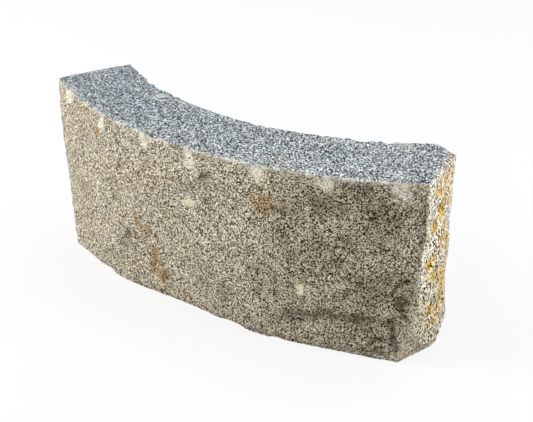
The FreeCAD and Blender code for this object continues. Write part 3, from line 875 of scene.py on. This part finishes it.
# %% Flamed top
def flamed_top():
    material, tree, shader, bumps = stone_material("flamed_top", roughness=0.82, bump=0.4)
    grain = place_group(
        tree, GRAIN, Grain_Size=0.0017, Crystal_Size=0.0030,
        Mica=(0.010, 0.016, 0.023, 1), Quartz=(0.095, 0.135, 0.165, 1),
        Feldspar=(0.26, 0.285, 0.305, 1), White=(0.92, 0.955, 0.955, 1), Mica_Share=0.425,
        Quartz_Share=0.08, White_Share=0.37)
    cloud = place_group(tree, MOTTLE, Color=grain.outputs["Color"], Cloud_Scale=42.0, Amount=0.2,
                        Warm=(1.015, 1.0, 0.965, 1), Cool=(0.945, 0.995, 1.05, 1))
    # Painted shade: the hollows and the left part of the top are darkened here, with the flame's dark
    # patches.
    dirt_and_shade = place_group(tree, DIRT_AND_SHADE, Color=cloud.outputs["Color"], Dirt=(0.67, 0.74, 0.79, 1),
                       Hollow=mark(tree, "hollow_dirt_and_shade"), Grime=mark(tree, "top_dark_and_shade"))
    pale = place_group(tree, WEAR_AND_HIGHLIGHT, Color=dirt_and_shade.outputs["Color"], Pale=(0.66, 0.66, 0.60, 1),
                       Wear=mark(tree, "top_pale"), Speck_Scale=220.0)
    # Painted highlight: the pale front arris is partly a highlight, partly crushed grain.
    worn_and_highlit = place_group(tree, WEAR_AND_HIGHLIGHT, Color=pale.outputs["Color"], Pale=(0.76, 0.75, 0.70, 1),
                       Wear=mark(tree, "arris_wear_and_highlight"), Speck_Scale=320.0)
    finish_material(tree, shader, bumps, worn_and_highlit.outputs["Color"], grain.outputs["Height"])
    return material


# %% [markdown]
# ## The weathered split face
# The split sides have weathered to a warm tan, and they are greyer and darker to the right, which
# is painted shade. The layers go on in the order they came about: grain, mottling, dirt with
# painted shade, dark patches with painted shadow, rust, tooth bruises, cream crystals, and the
# worn arris last, partly a painted highlight.

# %% Split face
def split_face():
    material, tree, shader, bumps = stone_material("split_face", roughness=0.9, bump=0.65)
    grain = place_group(
        tree, GRAIN, Grain_Size=0.0015, Crystal_Size=0.0026,
        Mica=(0.046, 0.026, 0.009, 1), Quartz=(0.25, 0.165, 0.08, 1),
        Feldspar=(0.55, 0.45, 0.285, 1), White=(0.98, 0.90, 0.73, 1), Mica_Share=0.40,
        Quartz_Share=0.06, White_Share=0.51)
    cloud = place_group(tree, MOTTLE, Color=grain.outputs["Color"], Cloud_Scale=32.0, Amount=0.11,
                        Warm=(1.02, 0.965, 0.89, 1), Cool=(0.975, 0.965, 0.945, 1))
    # Painted shade: the hollows and the right part of the face are darkened here, along with real
    # grime.
    dirt_and_shade = place_group(tree, DIRT_AND_SHADE, Color=cloud.outputs["Color"], Dirt=(0.53, 0.50, 0.43, 1),
                       Hollow=mark(tree, "hollow_dirt_and_shade"), Grime=mark(tree, "grime_and_shade"))
    # Painted shadow: part of the dark patches is shadow along the ledge and in the corner scars.
    patch = place_group(tree, STAIN, Color=dirt_and_shade.outputs["Color"], Tint=(0.28, 0.25, 0.19, 1),
                        Mark=mark(tree, "dark_patch_and_shadow"), Strength=1.0, Speck_Scale=200.0)
    rusty = place_group(tree, STAIN, Color=patch.outputs["Color"], Tint=(0.80, 0.56, 0.32, 1),
                        Mark=mark(tree, "rust"), Strength=1.2, Speck_Scale=200.0)
    bruised = place_group(tree, WEAR_AND_HIGHLIGHT, Color=rusty.outputs["Color"], Pale=(0.92, 0.86, 0.74, 1),
                          Wear=mark(tree, "bruise"), Speck_Scale=420.0)
    crystal = place_group(tree, WEAR_AND_HIGHLIGHT, Color=bruised.outputs["Color"], Pale=(0.88, 0.80, 0.60, 1),
                          Wear=mark(tree, "cream_crystal"), Speck_Scale=380.0)
    # Painted highlight: the pale arris is partly a highlight, partly crushed grain.
    worn_and_highlit = place_group(tree, WEAR_AND_HIGHLIGHT, Color=crystal.outputs["Color"], Pale=(0.80, 0.75, 0.64, 1),
                       Wear=mark(tree, "arris_wear_and_highlight"), Speck_Scale=320.0)
    finish_material(tree, shader, bumps, worn_and_highlit.outputs["Color"], grain.outputs["Height"])
    return material


# %% [markdown]
# ## The fresh split end
# The end shows the rock as it is inside: the brightest white, cream between, and black specks a
# little larger. Only dirt, painted shade in its hollows and the yellow rust lie on it, so it is
# the simplest of the three.

# %% Fresh split end
def fresh_end():
    material, tree, shader, bumps = stone_material("fresh_end", roughness=0.85, bump=0.65)
    grain = place_group(
        tree, GRAIN, Grain_Size=0.0024, Crystal_Size=0.0042,
        Mica=(0.03, 0.018, 0.008, 1), Quartz=(0.28, 0.235, 0.15, 1),
        Feldspar=(0.66, 0.58, 0.41, 1), White=(0.98, 0.93, 0.79, 1), Mica_Share=0.31,
        Quartz_Share=0.04, White_Share=0.64)
    # Painted shade: the hollows are darkened, with some dirt, and grime lies on the end.
    dirt_and_shade = place_group(tree, DIRT_AND_SHADE, Color=grain.outputs["Color"], Dirt=(0.66, 0.62, 0.50, 1),
                       Hollow=mark(tree, "hollow_dirt_and_shade"), Grime=mark(tree, "grime_and_shade"))
    rusty = place_group(tree, STAIN, Color=dirt_and_shade.outputs["Color"], Tint=(1.0, 0.62, 0.11, 1),
                        Mark=mark(tree, "end_rust"), Strength=2.0, Speck_Scale=260.0)
    finish_material(tree, shader, bumps, rusty.outputs["Color"], grain.outputs["Height"])
    return material


# %% [markdown]
# ## Which face wears which finish
# Each face of the skin takes the finish of the side that its points mostly belong to. The border
# between face and end is torn by noise within a few millimetres of the arris, so it reads as
# broken stone and not as a cut.

# %% Dress the stone
FINISHES = [split_face(), flamed_top(), fresh_end()]
for material in FINISHES:
    dressed.materials.append(material)
corner_count = len(dressed.loops)
corner_points = np.empty(corner_count, dtype=np.int64)
dressed.loops.foreach_get("vertex_index", corner_points)
starts = np.empty(len(dressed.polygons), dtype=np.int64)
dressed.polygons.foreach_get("loop_start", starts)
sizes = np.empty(len(dressed.polygons), dtype=np.int64)
dressed.polygons.foreach_get("loop_total", sizes)
top_share = np.add.reduceat(on_top[corner_points], starts) / sizes
end_share = np.add.reduceat(on_right[corner_points], starts) / sizes
torn_border = 0.5 * noise(unrolled, 6 * MM, 241) + 0.5 * noise(unrolled, 15 * MM, 243)
torn_border *= step(15 * MM, 5 * MM, corner_gap)
end_share += np.add.reduceat(torn_border[corner_points], starts) / sizes
finish_of = np.where(top_share > 0.5, 1, np.where(end_share > 0.5, 2, 0))
dressed.polygons.foreach_set("material_index", finish_of.astype(np.int32))
dressed.polygons.foreach_set("use_smooth", np.ones(len(dressed.polygons), dtype=bool))
dressed.update()
print("faces split, top, end:", np.bincount(finish_of))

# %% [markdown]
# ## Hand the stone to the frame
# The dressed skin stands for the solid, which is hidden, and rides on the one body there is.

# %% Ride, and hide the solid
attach(stone, "root")
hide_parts(NODE)
